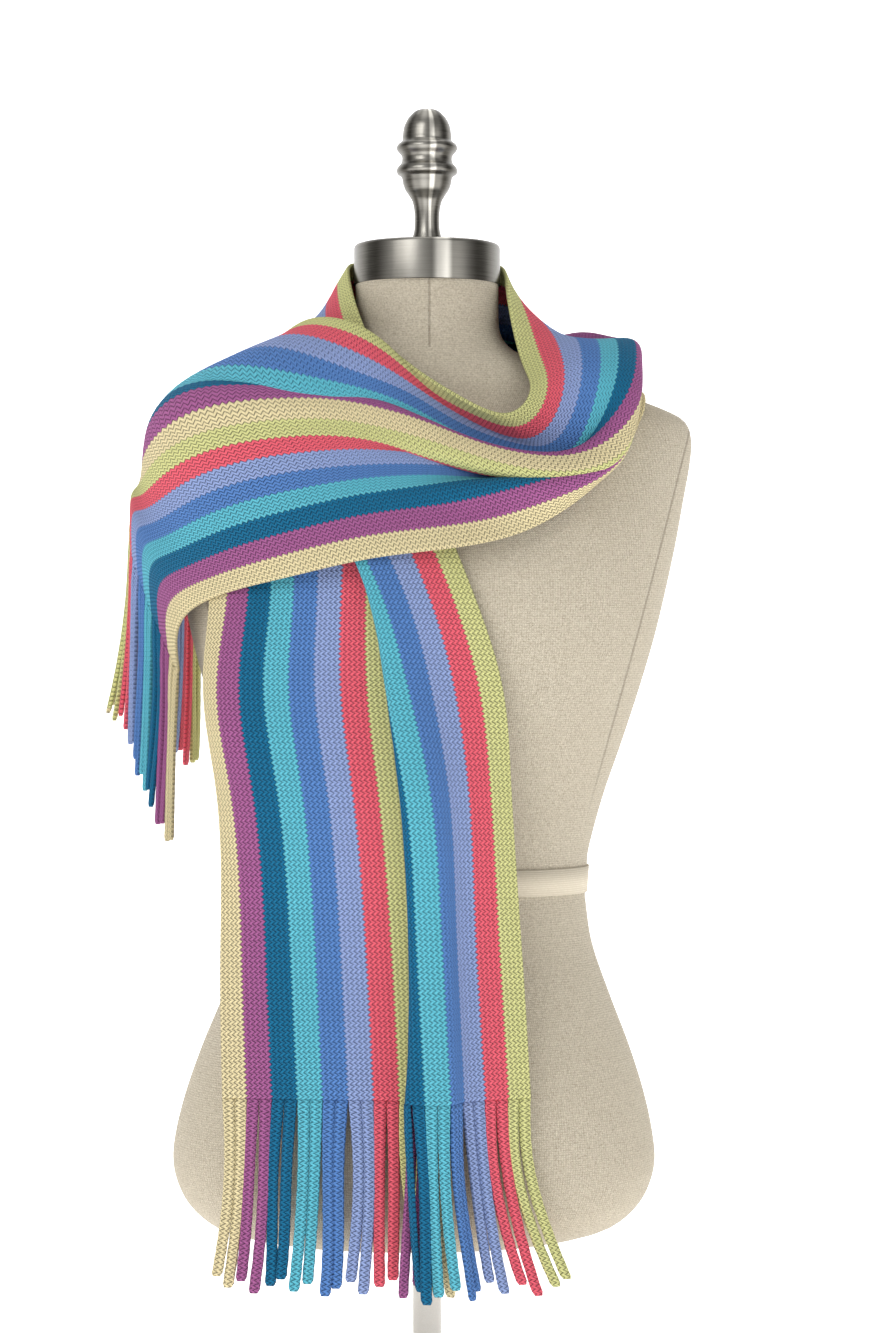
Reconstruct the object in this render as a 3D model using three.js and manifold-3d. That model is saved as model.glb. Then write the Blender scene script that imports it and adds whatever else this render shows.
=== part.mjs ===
// A striped knit scarf wound once round the neck of a limbless dress form on a short stand.
// Millimetres, +Z up. The form faces -Y and its stand's underside is centred on the origin.
import * as THREE from 'three';
import { mergeVertices } from 'three/addons/utils/BufferGeometryUtils.js';
import Module from 'manifold-3d';

const wasm = await Module();
wasm.setup();

// Gap kept between pieces that touch
const SEAM = 0.3;

// Scarf: its stripes run along its length, and the wall is made of columns of flat faces
const STRIPES = 16;
const STRIPE = 19;
const WIDTH = STRIPES * STRIPE;
const LENGTH = 1500;
const WALL = 3;
const COLUMNS = 28;

// Seams between the stretches of the scarf, as places along it, and the gap left at each
const FIRST_SEAM = 380;
const SECOND_SEAM = 960;
const THIRD_SEAM = 1340;
const CUT = 1.2;

// Fringe: strands two to a stripe, which grow from a narrow strip
const STRAND_WIDTH = 7.4;
const STRAND_THICK = 4.6;
const STRAND_LENGTH = 138;
const STRAND_STEPS = 3;
const STRIP = 7;

// Stand
const BASE_RADIUS = 130;
const BASE_THICK = 12;
const BASE_ROUND = 4;
const POLE_RADIUS = 11;
const POLE_SIDES = 24;
const ROUND_SIDES = 40;

// Neck cap
const CAP_RADIUS = 56.3;
const CAP_BOTTOM = 854;
const CAP_TOP = 885;
const CAP_ROUND = 3;

// Form: a row for each level, with the half width, the depth in front of the neck's line and behind it
const FORM_POWER = 2.2;
const FORM_SIDES = 32;
const FORM = [
  { z: 122, half: 112, front: 78, back: 88 },
  { z: 127, half: 138, front: 92, back: 102 },
  { z: 134, half: 156, front: 102, back: 112 },
  { z: 148, half: 172, front: 111, back: 122 },
  { z: 164, half: 181, front: 116, back: 127 },
  { z: 182, half: 185, front: 119, back: 130 },
  { z: 204, half: 183, front: 120, back: 130 },
  { z: 234, half: 176, front: 118, back: 126 },
  { z: 270, half: 164, front: 112, back: 119 },
  { z: 310, half: 148, front: 104, back: 106 },
  { z: 349, half: 134, front: 95, back: 93 },
  { z: 385, half: 128, front: 91, back: 88 },
  { z: 388, half: 128.1, front: 91.1, back: 88 },
  { z: 408, half: 129.1, front: 92.1, back: 88 },
  { z: 420, half: 130, front: 93, back: 88 },
  { z: 460, half: 140, front: 101, back: 93 },
  { z: 503, half: 154, front: 113, back: 99 },
  { z: 545, half: 167, front: 124, back: 105 },
  { z: 585, half: 178, front: 131, back: 111 },
  { z: 626, half: 187, front: 130, back: 114 },
  { z: 657, half: 193, front: 121, back: 115 },
  { z: 688, half: 198, front: 108, back: 114 },
  { z: 716, half: 202.5, front: 95, back: 108 },
  { z: 735, half: 203.3, front: 86, back: 101 },
  { z: 749, half: 198, front: 79, back: 93 },
  { z: 757, half: 184, front: 74, back: 86 },
  { z: 768, half: 155, front: 70, back: 78 },
  { z: 780, half: 122, front: 67, back: 71 },
  { z: 792, half: 90, front: 63, back: 65 },
  { z: 803, half: 67, front: 58.5, back: 60 },
  { z: 815, half: 57, front: 55.5, back: 57 },
  { z: 835, half: 55, front: 55, back: 55 },
  { z: 853.7, half: 55, front: 55, back: 55 },
];
// The hips stand this far to one side of the neck, as the form leans a little
const HIP_SHIFT = -10;
const HIP_LEVEL = 200;
const SHOULDER_LEVEL = 740;

// Scarf: a row for each section across it, at u along its length. lime and cream are the places of
// its two edges and out is the way that its right side faces. bends are the places of its fold
// lines, in stripes from the cream edge, and turns are the degrees that each panel between them
// turns out of the line from edge to edge. clear is the least gap to the form, and press the height
// that layers lying on the form are pressed into.
const SECTIONS = [
  { u: 0, lime: [77, -118, 243], cream: [-151, -118, 243], out: [0, -1, 0],
    bends: [1.5, 8.6, 10.1, 11.2, 12, 13], turns: [5, 2, 170, 0, 0, -80, -30], clear: 4, press: 300 },
  { u: 106, lime: [71, -120, 349], cream: [-155, -108, 349], out: [0, -1, 0],
    bends: [1.5, 9, 10.5, 11.5, 12.2, 13.1], turns: [18, 3, 170, 0, 0, -90, -30], clear: 4, press: 300 },
  { u: 218, lime: [63, -124, 461], cream: [-156, -104, 461], out: [0, -1, 0],
    bends: [1.4, 9.1, 10.6, 11.5, 12.1, 13.1], turns: [50, 8, 170, 0, 0, -62, -34], clear: 4, press: 300 },
  { u: 302, lime: [57, -130, 545], cream: [-170, -100, 545], out: [0, -1, 0],
    bends: [1.3, 9.2, 11, 11.7, 12.2, 13.2], turns: [58, 8, 170, 0, 0, -38, -18], clear: 4, press: 80 },
  { u: 376, lime: [34, -138, 616], cream: [-162, -97, 616], out: [-0.1, -1, 0],
    bends: [1.5, 9, 11.3, 12, 12.5, 13.5], turns: [36, 12, 168, -6, -6, -14, -18], clear: 4, press: 22 },
  { u: 455, lime: [4, -122, 690], cream: [-163, -68, 690], out: [-0.2, -1, 0.2],
    bends: [1.5, 8, 11.5, 12.3, 12.8, 14], turns: [20, 12, 168, -8, -8, -12, -16], clear: 4, press: 12 },
  { u: 529, lime: [-22, -90, 752], cream: [-152, -66, 740], out: [-0.3, -0.8, 0.6],
    bends: [1.5, 6.8, 11.6, 12.4, 13, 14.5], turns: [20, 12, 168, -8, -8, -12, -14], clear: 4, press: 11 },
  { u: 601, lime: [-42, -54, 808], cream: [-136, 0, 786], out: [-0.5, -0.4, 0.8],
    bends: [1.5, 5.8, 11.2, 12, 12.6, 14.2], turns: [20, 10, 169, -4, -4, -6, -6], clear: 6, press: 10 },
  { u: 669, lime: [-60, -2, 868], cream: [-108, 64, 764], out: [-0.8, 0, 0.7],
    bends: [1.5, 5.8, 10.3, 11.3, 12, 14], turns: [14, 2, 164, -4, -4, -8, -4], clear: 4, press: 22 },
  { u: 704, lime: [-58, 26, 874], cream: [-78, 84, 752], out: [-0.7, 0.5, 0.5],
    bends: [1.5, 6.1, 10.4, 11.4, 12, 14], turns: [12, 4, 165, -4, -4, -10, -8], clear: 4, press: 60 },
  { u: 741, lime: [-38, 52, 876], cream: [-43, 99, 742], out: [-0.5, 0.8, 0.4],
    bends: [1.5, 6.3, 10.5, 11.4, 12, 14], turns: [12, 6, 165, -4, -4, -10, -8], clear: 4, press: 60 },
  { u: 781, lime: [0, 64, 877], cream: [-1, 104, 735], out: [0, 1, 0.35],
    bends: [1.5, 6.3, 10.3, 11.3, 12, 14], turns: [12, 4, 163, -8, -8, -14, -8], clear: 4, press: 80 },
  { u: 821, lime: [38, 52, 876], cream: [42, 100, 737], out: [0.6, 0.6, 0.4],
    bends: [1.5, 5.2, 8.2, 10.2, 12.6, 14.5], turns: [10, 2, 160, 20, -50, -6, 4], clear: 3.5, press: 100 },
  { u: 858, lime: [58, 22, 874], cream: [80, 89, 742], out: [0.96, -0.2, 0.1],
    bends: [1.5, 3.6, 5.2, 8.8, 12, 14], turns: [14, 10, 176, 32, -100, 8, 4], clear: 3, press: 160 },
  { u: 916, lime: [60, -26, 846], cream: [130, 55, 754], out: [0.87, -0.29, 0.4],
    bends: [1.6, 3.4, 5.6, 9, 11.5, 13.5], turns: [24, 24, 194, 34, -88, 10, -11], clear: 3, press: 200 },
  { u: 978, lime: [70, -60, 786], cream: [162, 0, 766], out: [0.4, -0.36, 0.82],
    bends: [2, 4.5, 8.5, 10, 13, 14.5], turns: [0, 0, 166, 62, -12, -42, -46], clear: 3, press: 200 },
  { u: 1027, lime: [81, -95, 768], cream: [158, -52, 742], out: [0.6, -0.5, 0.65],
    bends: [1.5, 4.6, 8.6, 9.6, 12.4, 15], turns: [40, -8, 162, 70, -8, -34, -10], clear: 3, press: 160 },
  { u: 1060, lime: [64, -113, 742], cream: [145, -76, 716], out: [0.5, -0.7, 0.4],
    bends: [1.1, 4.3, 7.8, 9.6, 10.8, 12], turns: [110, -55, 146, -8, -94, -94, 24], clear: 4, press: 120 },
  { u: 1106, lime: [25, -103, 761], cream: [116, -102, 687], out: [0.25, -1, 0.2],
    bends: [1.6, 4.7, 7.7, 9.4, 10.6, 11.8], turns: [80, -70, 135, -10, -95, -95, 24], clear: 4, press: 120 },
  { u: 1153, lime: [-12, -82, 784], cream: [78, -122, 660], out: [0.15, -1, 0.1],
    bends: [2.4, 5, 7.4, 9.3, 10.5, 11.7], turns: [40, -80, 118, -10, -98, -98, 20], clear: 10, press: 120 },
  { u: 1208, lime: [-46, -60, 813], cream: [26, -136, 643], out: [-0.1, -1, 0.3],
    bends: [2.8, 5.2, 7.2, 9.3, 10.4, 11.6], turns: [24, -70, 88, 0, -98, -98, 14], clear: 23, press: 120 },
  { u: 1273, lime: [-97, -10, 812], cream: [-38, -136, 636], out: [-0.4, -1, 0.3],
    bends: [3, 5.4, 7, 9.3, 10.3, 11.3], turns: [24, -34, 52, 12, -86, -86, 8], clear: 23, press: 120 },
  { u: 1334, lime: [-126, 54, 778], cream: [-98, -126, 625], out: [-0.75, -0.7, 0.3],
    bends: [3, 5.5, 7, 9.6, 10.6, 11.5], turns: [36, 16, 34, 14, -66, -66, -32], clear: 18, press: 40 },
  { u: 1396, lime: [-136, 94, 732], cream: [-155, -104, 613], out: [-0.95, -0.25, 0.3],
    bends: [3, 5.5, 7.5, 9.8, 10.9, 12], turns: [40, 26, 18, 4, -36, -36, -54], clear: 16.5, press: 24 },
  { u: 1454, lime: [-158, 138, 662], cream: [-190, -68, 592], out: [-0.6, -0.14, 0.8],
    bends: [3, 5.5, 7.5, 9.5, 10.8, 12], turns: [50, 42, 20, -30, -46, -48, -46], clear: 12, press: 40 },
  { u: 1500, lime: [-194, 160, 612], cream: [-188, -48, 556], out: [-0.48, -0.17, 0.86],
    bends: [3, 6, 8.5, 10.5, 11.5, 12.5], turns: [54, 44, 18, -38, -52, -50, -46], clear: 9, press: 90 },
];
// Half of the width, in stripes, that a bend is spread over
const BEND = 0.6;

const radians = (degrees) => degrees * Math.PI / 180;
const clamp = (value, low, high) => Math.min(high, Math.max(low, value));
const smooth = (value) => value * value * (3 - 2 * value);

// Smooth curve through the rows of a table at its first column, for every column
function follow(rows, key, at) {
  const last = rows.length - 1;
  let i = 0;
  while (i < last - 1 && rows[i + 1][key] <= at) i += 1;
  const [a, b] = [rows[i], rows[i + 1]];
  const before = rows[Math.max(i - 1, 0)];
  const after = rows[Math.min(i + 2, last)];
  const step = b[key] - a[key];
  const t = clamp((at - a[key]) / step, 0, 1);
  const blend = (p, q, r, s) => {
    const slopeIn = (r - p) / (b[key] - before[key]) * step;
    const slopeOut = (s - q) / (after[key] - a[key]) * step;
    const rise = smooth(t);
    return q + (r - q) * rise + slopeIn * t * (1 - t) ** 2 - slopeOut * t * t * (1 - t);
  };
  const result = {};
  for (const name of Object.keys(a)) {
    result[name] = Array.isArray(a[name])
      ? a[name].map((_, k) => blend(before[name][k], a[name][k], b[name][k], after[name][k]))
      : blend(before[name], a[name], b[name], after[name]);
  }
  return result;
}

// Form

const lean = (z) => HIP_SHIFT * clamp((SHOULDER_LEVEL - z) / (SHOULDER_LEVEL - HIP_LEVEL), 0, 1);

function formPoint(level, turn, out = 0) {
  const [c, s] = [Math.cos(turn), Math.sin(turn)];
  const depth = s < 0 ? level.front : level.back;
  const power = 2 / FORM_POWER;
  return new THREE.Vector3(
    lean(level.z) + (level.half + out) * Math.sign(c) * Math.abs(c) ** power,
    (depth + out) * Math.sign(s) * Math.abs(s) ** power,
    level.z,
  );
}

// Form as the cloth feels it, which bridges the hollow between the neck and the shoulders
const BRIDGE = [
  ...FORM.filter(({ z }) => z < 740),
  { z: 749, half: 200, front: 80, back: 94 },
  { z: 757, half: 189, front: 76, back: 88 },
  { z: 768, half: 164, front: 73, back: 81 },
  { z: 780, half: 135, front: 70, back: 75 },
  { z: 792, half: 108, front: 67, back: 70 },
  { z: 803, half: 88, front: 64, back: 66 },
  { z: 815, half: 74, front: 61, back: 62 },
  { z: 835, half: 61, front: 57, back: 57 },
  { z: 853.7, half: 56, front: 55, back: 55 },
];

// How far out a point is, as a share of the form's section at its level
function formShare(x, y, z) {
  const level = follow(BRIDGE, 'z', clamp(z, BRIDGE[0].z, BRIDGE[BRIDGE.length - 1].z));
  const depth = y < 0 ? level.front : level.back;
  const across = Math.abs(x - lean(z)) / level.half;
  return (across ** FORM_POWER + (Math.abs(y) / depth) ** FORM_POWER) ** (1 / FORM_POWER);
}

// Gap between a point and the form, and the way out
function formGap(point) {
  const { x, y, z } = point;
  const step = 1;
  const slope = new THREE.Vector3(
    formShare(x + step, y, z) - formShare(x - step, y, z),
    formShare(x, y + step, z) - formShare(x, y - step, z),
    formShare(x, y, z + step) - formShare(x, y, z - step),
  ).multiplyScalar(1 / (2 * step));
  const steep = slope.length();
  return { gap: (formShare(x, y, z) - 1) / steep, out: slope.multiplyScalar(1 / steep) };
}

// How gradually the cloth starts to lie clear of the form
const SOFT = 2;

// Moves a point of the cloth clear of the form, and presses it down towards it
function settle(point, clear, press) {
  for (let pass = 0; pass < 4; pass += 1) {
    const { gap, out } = formGap(point);
    const over = SOFT * Math.log1p(Math.exp((gap - clear) / SOFT));
    const pressed = clear + press * (1 - Math.exp(-over / press));
    const move = pass === 0 && press < Infinity ? pressed - gap : Math.max(clear - gap, 0);
    point.addScaledVector(out, move);
  }
  return point;
}

// Scarf

// Angle between the cloth and the line between its edges, at q stripes from the cream edge
function turnAt(row, q) {
  let degrees = row.turns[0];
  row.bends.forEach((bend, i) => {
    degrees += (row.turns[i + 1] - row.turns[i]) * smooth(clamp((q - bend + BEND) / (2 * BEND), 0, 1));
  });
  return radians(degrees);
}

// Section's outline in its own plane, from the cream edge
function outline(row, steps) {
  const points = [[0, 0]];
  let [a, b] = [0, 0];
  for (let j = 0; j < steps; j += 1) {
    const angle = turnAt(row, (j + 0.5) / steps * STRIPES);
    a += Math.cos(angle) * WIDTH / steps;
    b += Math.sin(angle) * WIDTH / steps;
    points.push([a, b]);
  }
  return points;
}

// Points across the scarf at u along it as the table lays them, from the cream edge to the lime one
function laid(u, columns) {
  const row = follow(SECTIONS, 'u', u);
  const cream = new THREE.Vector3(...row.cream);
  const chord = new THREE.Vector3(...row.lime).sub(cream);
  const span = chord.length();
  const along = chord.clone().normalize();
  const out = new THREE.Vector3(...row.out);
  out.addScaledVector(along, -out.dot(along)).normalize();
  const fine = 4;
  const flat = outline(row, columns * fine).filter((_, j) => j % fine === 0);
  const [endA, endB] = flat[columns];
  const reach = Math.hypot(endA, endB);
  const scale = span / reach;
  return flat.map(([a, b]) => {
    const ahead = (a * endA + b * endB) / reach * scale;
    const aside = (b * endA - a * endB) / reach * scale;
    const point = cream.clone().addScaledVector(along, ahead).addScaledVector(out, aside);
    return settle(point, row.clear, row.press);
  });
}

// Grid of the whole cloth: its step along the scarf, its steps across and the passes that smooth it
const LINE_STEP = 10;
const POSTS = 64;
const SMOOTHINGS = 8;
const ACROSS_SMOOTHINGS = 3;
// Least gap between the middle of the cloth and the form
const LEAST = 2.2;

// The cloth on its grid, smoothed as knit smooths itself and then kept clear of the form
function drape() {
  const lines = [];
  for (let u = 0; u <= LENGTH; u += LINE_STEP) lines.push(laid(u, POSTS));
  const last = lines.length - 1;
  for (let pass = 0; pass < SMOOTHINGS; pass += 1) {
    const before = lines.map((points) => points.map((point) => point.clone()));
    for (let i = 1; i < last; i += 1) {
      for (let j = 0; j <= POSTS; j += 1) {
        const middle = before[i - 1][j].clone().add(before[i + 1][j]).multiplyScalar(0.5);
        lines[i][j].lerp(middle, 0.5);
        if (j > 0 && j < POSTS && pass < ACROSS_SMOOTHINGS) {
          lines[i][j].lerp(before[i][j - 1].clone().add(before[i][j + 1]).multiplyScalar(0.5), 0.3);
        }
      }
    }
  }
  for (const [end, next, third] of [[0, 1, 2], [last, last - 1, last - 2]]) {
    lines[end].forEach((point, j) => {
      point.copy(lines[next][j]).multiplyScalar(2).sub(lines[third][j]);
    });
  }
  return lines.map((points, i) => ({
    u: i * LINE_STEP,
    spots: points.flatMap((point) => settle(point, LEAST, Infinity).toArray()),
  }));
}

const LINES = drape();

// Points across the scarf at u along it, from the cream edge to the lime one
function section(u, columns) {
  const { spots } = follow(LINES, 'u', u);
  const points = [];
  for (let j = 0; j <= columns; j += 1) {
    const at = j / columns * POSTS;
    const post = Math.min(Math.floor(at), POSTS - 1);
    const [a, b] = [post, post + 1].map((k) => new THREE.Vector3().fromArray(spots, 3 * k));
    points.push(a.lerp(b, at - post));
  }
  return points;
}

const subtract = (a, b) => new THREE.Vector3().subVectors(a, b);

// Solid from corners and quads, turned so that its faces look outwards
function solid(corners, quads) {
  const triangles = [];
  for (const [a, b, c, d] of quads) {
    triangles.push([a, b, c]);
    if (d !== undefined) triangles.push([a, c, d]);
  }
  let volume = 0;
  for (const [a, b, c] of triangles) {
    volume += corners[a].dot(new THREE.Vector3().crossVectors(corners[b], corners[c]));
  }
  const index = triangles.flatMap(([a, b, c]) => (volume < 0 ? [a, c, b] : [a, b, c]));
  const geometry = new THREE.BufferGeometry();
  const values = corners.flatMap((corner) => corner.toArray());
  geometry.setAttribute('position', new THREE.Float32BufferAttribute(values, 3));
  geometry.setIndex(index);
  return geometry;
}

// Distance along the scarf over which the way that the cloth faces is measured
const NEAR = 3;

// One line across the cloth: its points and the way that the cloth faces at each
function line(u, columns) {
  const points = section(u, columns);
  const [before, after] = [section(u - NEAR, columns), section(u + NEAR, columns)];
  const normals = points.map((point, j) => {
    const across = subtract(points[Math.min(j + 1, columns)], points[Math.max(j - 1, 0)]);
    return across.cross(subtract(after[j], before[j])).normalize();
  });
  return { points, normals };
}

// Closed wall of the cloth's thickness between two places along the scarf
function wall(from, to, rows, columns) {
  const corners = [];
  const lines = [];
  for (let i = 0; i <= rows; i += 1) lines.push(line(from + (to - from) * i / rows, columns));
  for (const side of [1, -1]) {
    for (const { points, normals } of lines) {
      points.forEach((point, j) => {
        corners.push(point.clone().addScaledVector(normals[j], side * WALL / 2));
      });
    }
  }
  const at = (side, i, j) => (side * (rows + 1) + i) * (columns + 1) + j;
  const quads = [];
  for (let i = 0; i < rows; i += 1) {
    for (let j = 0; j < columns; j += 1) {
      quads.push([at(0, i, j), at(0, i, j + 1), at(0, i + 1, j + 1), at(0, i + 1, j)]);
      quads.push([at(1, i, j), at(1, i + 1, j), at(1, i + 1, j + 1), at(1, i, j + 1)]);
    }
    quads.push([at(0, i, 0), at(0, i + 1, 0), at(1, i + 1, 0), at(1, i, 0)]);
    quads.push([at(0, i + 1, columns), at(0, i, columns), at(1, i, columns), at(1, i + 1, columns)]);
  }
  for (let j = 0; j < columns; j += 1) {
    quads.push([at(0, 0, j + 1), at(0, 0, j), at(1, 0, j), at(1, 0, j + 1)]);
    quads.push([at(0, rows, j), at(0, rows, j + 1), at(1, rows, j + 1), at(1, rows, j)]);
  }
  return solid(corners, quads);
}

function toManifold(geometry) {
  const merged = mergeVertices(geometry);
  return new wasm.Manifold(new wasm.Mesh({
    numProp: 3,
    vertProperties: merged.attributes.position.array,
    triVerts: new Uint32Array(merged.index.array),
  }));
}

function fromManifold(body) {
  const mesh = body.getMesh();
  const geometry = new THREE.BufferGeometry();
  geometry.setAttribute('position', new THREE.Float32BufferAttribute(mesh.vertProperties, 3));
  geometry.setIndex([...mesh.triVerts]);
  return geometry;
}

// A steady spread of values from -1 to 1, one for each strand
const spread = (i) => 2 * ((i * 0.618) % 1) - 1;

// One strand that hangs from its root, with a flat four-sided section
function strand(root, across, width, length, lean) {
  const corners = [];
  const thick = new THREE.Vector3(-across.y, across.x, 0);
  for (let k = 0; k <= STRAND_STEPS; k += 1) {
    const t = k / STRAND_STEPS;
    const centre = root.clone().addScaledVector(lean, t * t);
    centre.z -= length * t;
    const taper = k === STRAND_STEPS ? 0.7 : 1;
    for (const [a, b] of [[1, 1], [-1, 1], [-1, -1], [1, -1]]) {
      corners.push(centre.clone()
        .addScaledVector(across, a * width / 2 * taper)
        .addScaledVector(thick, b * STRAND_THICK / 2 * taper));
    }
  }
  const quads = [[3, 2, 1, 0]];
  const last = STRAND_STEPS * 4;
  quads.push([last, last + 1, last + 2, last + 3]);
  for (let k = 0; k < STRAND_STEPS; k += 1) {
    for (let side = 0; side < 4; side += 1) {
      const next = (side + 1) % 4;
      quads.push([k * 4 + side, k * 4 + next, k * 4 + 4 + next, k * 4 + 4 + side]);
    }
  }
  return solid(corners, quads);
}

// Fringe: its strands and the narrow strip that they grow from, at one end of the scarf
function fringe(edge, inner, leanAt) {
  let body = toManifold(wall(edge, inner, 1, COLUMNS));
  const roots = section(edge + (inner - edge) * 0.15, 4 * STRIPES);
  for (let i = 0; i < 2 * STRIPES; i += 1) {
    const root = roots[2 * i + 1];
    root.z -= 1;
    const across = subtract(roots[2 * i + 2], roots[2 * i]).setZ(0);
    const room = across.length();
    across.normalize();
    const length = STRAND_LENGTH * (1 + 0.05 * spread(i));
    const width = Math.min(STRAND_WIDTH, room * 0.8);
    body = body.add(toManifold(strand(root, across, width, length, leanAt(root, i))));
  }
  return fromManifold(body);
}

// Front strands fan out towards the lime edge, and a little towards the cream one
function frontLean(root, i) {
  const right = 30 * smooth(clamp((root.x + 20) / 95, 0, 1));
  const left = 9 * smooth(clamp((-20 - root.x) / 90, 0, 1));
  return new THREE.Vector3(right - left, 2 * spread(i + 7), 0);
}
// Back strands hang straight, and those at the fold fan out
const FOLD_STRAND = 16;
function backLean(root, i) {
  const left = 4 + 14 * smooth(clamp(1 - Math.abs(i - FOLD_STRAND) / 5, 0, 1));
  return new THREE.Vector3(-left, 1.5 * spread(i + 3), 0);
}

// Form's closed skin, from its flat underside to the neck's top
function formSkin() {
  const corners = [];
  const quads = [];
  for (const level of FORM) {
    for (let k = 0; k < FORM_SIDES; k += 1) {
      corners.push(formPoint(level, k / FORM_SIDES * 2 * Math.PI));
    }
  }
  const levels = FORM.length;
  for (let i = 0; i < levels - 1; i += 1) {
    for (let k = 0; k < FORM_SIDES; k += 1) {
      const next = (k + 1) % FORM_SIDES;
      const [low, high] = [i * FORM_SIDES, (i + 1) * FORM_SIDES];
      quads.push([low + k, low + next, high + next, high + k]);
    }
  }
  const top = (levels - 1) * FORM_SIDES;
  const bottomHub = corners.push(new THREE.Vector3(lean(FORM[0].z), 0, FORM[0].z)) - 1;
  const topHub = corners.push(new THREE.Vector3(0, 0, FORM[levels - 1].z)) - 1;
  for (let k = 0; k < FORM_SIDES; k += 1) {
    const next = (k + 1) % FORM_SIDES;
    quads.push([bottomHub, next, k]);
    quads.push([topHub, top + k, top + next]);
  }
  return solid(corners, quads);
}

// Waist tape: the levels of its edges, and its two faces as distances out from the form
const TAPE_LOW = 388;
const TAPE_HIGH = 408;
const TAPE_INNER = 0.5;
const TAPE_OUTER = 1.6;

// Closed band round the form's waist
function waistTape() {
  const [low, high] = [TAPE_LOW, TAPE_HIGH].map((z) => follow(FORM, 'z', z));
  const rim = [[low, TAPE_INNER], [low, TAPE_OUTER], [high, TAPE_OUTER], [high, TAPE_INNER]];
  const corners = [];
  for (let k = 0; k < FORM_SIDES; k += 1) {
    for (const [level, out] of rim) corners.push(formPoint(level, k / FORM_SIDES * 2 * Math.PI, out));
  }
  const quads = [];
  for (let k = 0; k < FORM_SIDES; k += 1) {
    const next = (k + 1) % FORM_SIDES;
    for (let side = 0; side < 4; side += 1) {
      const up = (side + 1) % 4;
      quads.push([k * 4 + side, k * 4 + up, next * 4 + up, next * 4 + side]);
    }
  }
  return solid(corners, quads);
}

// Turned piece about the upright axis, from rows of radius and height
function turned(profile, sides) {
  const points = profile.map(([radius, z]) => new THREE.Vector2(radius, z));
  return new THREE.LatheGeometry(points, sides).rotateX(Math.PI / 2);
}

// Finial: a row for each radius and height above the cap
const FINIAL = [
  [0, 0.3], [13, 0.3], [11.6, 5], [9.8, 12], [9.6, 24], [11.2, 33], [13.9, 38], [16.6, 42], [18.5, 47],
  [19.6, 52], [22.6, 54.5], [23.5, 57], [22.4, 60], [19.8, 63], [19.4, 68], [22.4, 72], [23.5, 74.6],
  [22.2, 77.4], [19.2, 80], [18.8, 84], [18.2, 88.6], [17, 93], [14.2, 98], [9.6, 102.6],
  [4.5, 104.6], [0, 105],
];
const FINIAL_SIDES = 16;

const BASE = [
  [0, 0], [BASE_RADIUS, 0], [BASE_RADIUS, BASE_THICK - BASE_ROUND],
  [BASE_RADIUS - BASE_ROUND, BASE_THICK], [0, BASE_THICK],
];
const POLE_BOTTOM = BASE_THICK + SEAM;
const POLE_TOP = FORM[0].z - SEAM;
const POLE = [[0, POLE_BOTTOM], [POLE_RADIUS, POLE_BOTTOM], [POLE_RADIUS, POLE_TOP], [0, POLE_TOP]];
const CAP = [
  [0, CAP_BOTTOM], [CAP_RADIUS, CAP_BOTTOM], [CAP_RADIUS, CAP_TOP - CAP_ROUND],
  [CAP_RADIUS - 1, CAP_TOP - 1], [CAP_RADIUS - CAP_ROUND, CAP_TOP], [0, CAP_TOP],
];

const linen = { color: 0xbfb59f, roughness: 0.9, metalness: 0 };
const cotton = { color: 0xdbd0bc, roughness: 0.9, metalness: 0 };
const steel = { color: 0x8c8b84, roughness: 0.35, metalness: 1 };
const white = { color: 0xe6e4df, roughness: 0.5, metalness: 0.1 };
const knit = { color: 0x6f8fc0, roughness: 0.95, metalness: 0 };

const group = new THREE.Group();
function add(name, geometry, look) {
  const mesh = new THREE.Mesh(geometry, new THREE.MeshStandardMaterial(look));
  mesh.name = name;
  group.add(mesh);
}

add('stand_base', turned(BASE, ROUND_SIDES), white);
add('stand_pole', turned(POLE, POLE_SIDES), white);
add('form_torso', formSkin(), linen);
add('waist_tape', waistTape(), cotton);
add('neck_cap', turned(CAP, ROUND_SIDES), steel);
add('finial', turned(FINIAL, FINIAL_SIDES).translate(0, 0, CAP_TOP), steel);
add('scarf_front_tail', wall(STRIP + CUT, FIRST_SEAM, 16, COLUMNS), knit);
add('scarf_neck_wrap', wall(FIRST_SEAM + CUT, SECOND_SEAM, 31, COLUMNS), knit);
add('scarf_chest_band', wall(SECOND_SEAM + CUT, THIRD_SEAM, 22, COLUMNS), knit);
add('scarf_shoulder_end', wall(THIRD_SEAM + CUT, LENGTH - STRIP - 2 * CUT, 9, COLUMNS), knit);
add('fringe_front', fringe(0, STRIP, frontLean), knit);
add('fringe_back', fringe(LENGTH, LENGTH - STRIP, backLean), knit);

export default group;
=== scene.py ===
"""A striped knit scarf wound round the neck of a limbless dress form, in a plain bright studio."""
import math

import bmesh
import bpy
import numpy as np
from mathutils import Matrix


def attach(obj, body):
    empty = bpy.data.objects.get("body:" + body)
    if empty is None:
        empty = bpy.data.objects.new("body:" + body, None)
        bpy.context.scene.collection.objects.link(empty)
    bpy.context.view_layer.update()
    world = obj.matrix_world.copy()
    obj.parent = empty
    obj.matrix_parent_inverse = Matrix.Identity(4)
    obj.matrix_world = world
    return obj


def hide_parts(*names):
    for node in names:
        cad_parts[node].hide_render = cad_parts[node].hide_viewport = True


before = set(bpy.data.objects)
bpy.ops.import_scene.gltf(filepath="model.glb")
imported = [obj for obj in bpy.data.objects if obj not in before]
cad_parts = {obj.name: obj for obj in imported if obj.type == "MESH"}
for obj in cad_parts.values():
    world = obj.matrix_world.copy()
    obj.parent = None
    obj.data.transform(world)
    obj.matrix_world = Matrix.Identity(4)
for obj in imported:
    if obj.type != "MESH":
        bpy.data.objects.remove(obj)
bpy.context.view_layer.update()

# Camera
# It stands level in front of the form, 2.7 m away and at the height of the ribs.
CAMERA_DISTANCE = 2.7
CAMERA_SIDE = 0.0123
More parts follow.
